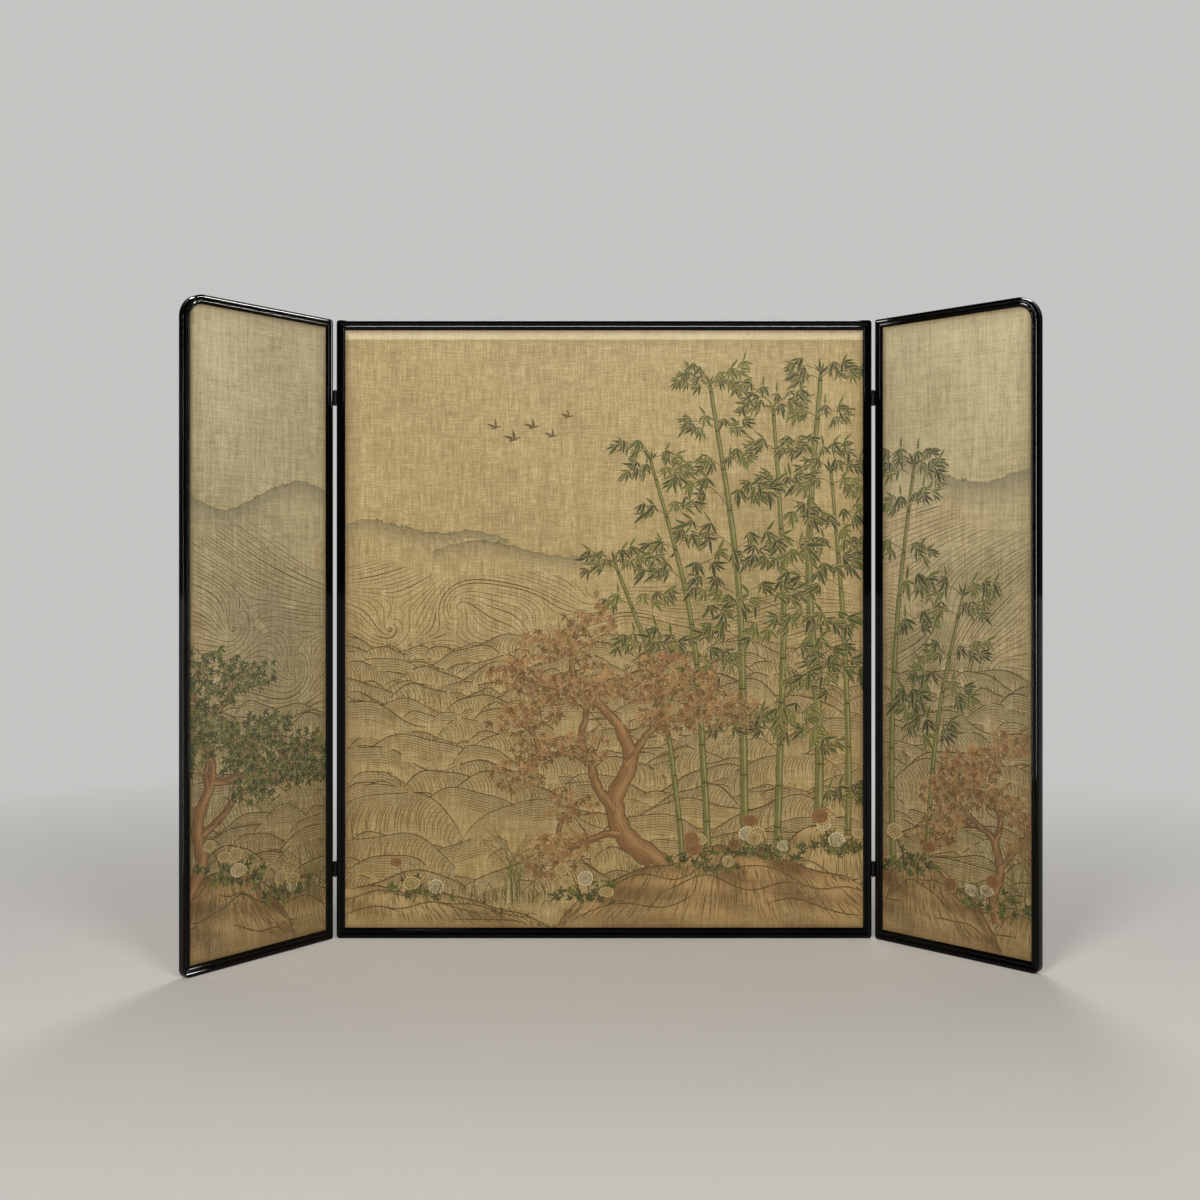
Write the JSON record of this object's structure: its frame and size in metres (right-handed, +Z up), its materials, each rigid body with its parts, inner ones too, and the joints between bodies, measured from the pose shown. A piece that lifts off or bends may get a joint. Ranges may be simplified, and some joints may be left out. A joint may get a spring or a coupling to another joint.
{
  "type": "folding screen",
  "caption": "Folding screen: a wide centre panel with a narrow wing hinged at each side, lacquered moulding frames round papered lattice cores faced with painted silk.",
  "frame": {"origin": "middle of the underside of the centre panel, on the floor, halfway through its thickness", "axes": "+Z up, -Y towards the viewer of the painted side, +X to that viewer's right along the centre panel"},
  "size_m": [1.9738, 0.3801, 1.56],
  "materials": {
    "black_lacquer": "gloss black lacquer on wood",
    "bare_wood": "planed softwood, unfinished",
    "painted_silk": "aged golden-tan silk with ink and mineral colours",
    "heading_silk": "plain paler silk",
    "lining_paper": "layered lining paper",
    "back_paper": "plain toned paper in lapped sheets",
    "hinge_metal": "black finish, satin",
    "nail_steel": "plain drawn wire"
  },
  "bodies": {
    "centre_panel": {"centre_back_paper": "back_paper", "centre_bottom_rail": "black_lacquer", "centre_corner_dowels": "bare_wood", "centre_heading_silk": "heading_silk", "centre_hidden_nails": "nail_steel", "centre_lattice_crossbars": "bare_wood", "centre_lattice_left_stile": "bare_wood", "centre_lattice_right_stile": "bare_wood", "centre_lattice_uprights": "bare_wood", "centre_left_stile": "black_lacquer", "centre_lining_paper": "lining_paper", "centre_painted_silk": "painted_silk", "centre_right_stile": "black_lacquer", "centre_top_rail": "black_lacquer", "left_hinge_centre_screws": "hinge_metal", "left_hinge_pins": "hinge_metal", "left_lower_hinge_centre_leaf": "hinge_metal", "left_upper_hinge_centre_leaf": "hinge_metal", "right_hinge_centre_screws": "hinge_metal", "right_hinge_pins": "hinge_metal", "right_lower_hinge_centre_leaf": "hinge_metal", "right_upper_hinge_centre_leaf": "hinge_metal"},
    "left_wing": {"left_hinge_wing_screws": "hinge_metal", "left_lower_hinge_wing_leaf": "hinge_metal", "left_upper_hinge_wing_leaf": "hinge_metal", "left_wing_back_paper": "back_paper", "left_wing_bottom_rail": "black_lacquer", "left_wing_corner_block": "black_lacquer", "left_wing_corner_dowels": "bare_wood", "left_wing_hidden_nails": "nail_steel", "left_wing_hinge_stile": "black_lacquer", "left_wing_lattice_crossbars": "bare_wood", "left_wing_lattice_hinge_stile": "bare_wood", "left_wing_lattice_outer_stile": "bare_wood", "left_wing_lattice_uprights": "bare_wood", "left_wing_lining_paper": "lining_paper", "left_wing_outer_stile": "black_lacquer", "left_wing_painted_silk": "painted_silk", "left_wing_top_rail": "black_lacquer"},
    "right_wing": {"right_hinge_wing_screws": "hinge_metal", "right_lower_hinge_wing_leaf": "hinge_metal", "right_upper_hinge_wing_leaf": "hinge_metal", "right_wing_back_paper": "back_paper", "right_wing_bottom_rail": "black_lacquer", "right_wing_corner_block": "black_lacquer", "right_wing_corner_dowels": "bare_wood", "right_wing_hidden_nails": "nail_steel", "right_wing_hinge_stile": "black_lacquer", "right_wing_lattice_crossbars": "bare_wood", "right_wing_lattice_hinge_stile": "bare_wood", "right_wing_lattice_outer_stile": "bare_wood", "right_wing_lattice_uprights": "bare_wood", "right_wing_lining_paper": "lining_paper", "right_wing_outer_stile": "black_lacquer", "right_wing_painted_silk": "painted_silk", "right_wing_top_rail": "black_lacquer"}
  },
  "joints": [
    {"name": "left_wing_fold", "type": "hinge", "parent": "centre_panel", "child": "left_wing", "pos_m": [-0.6775, -0.0125, 0.78], "axis": [0, 0, 1], "range_deg": [-53, 127]},
    {"name": "right_wing_fold", "type": "hinge", "parent": "centre_panel", "child": "right_wing", "pos_m": [0.6775, -0.0125, 0.78], "axis": [0, 0, -1], "range_deg": [-46, 134]}
  ]
}
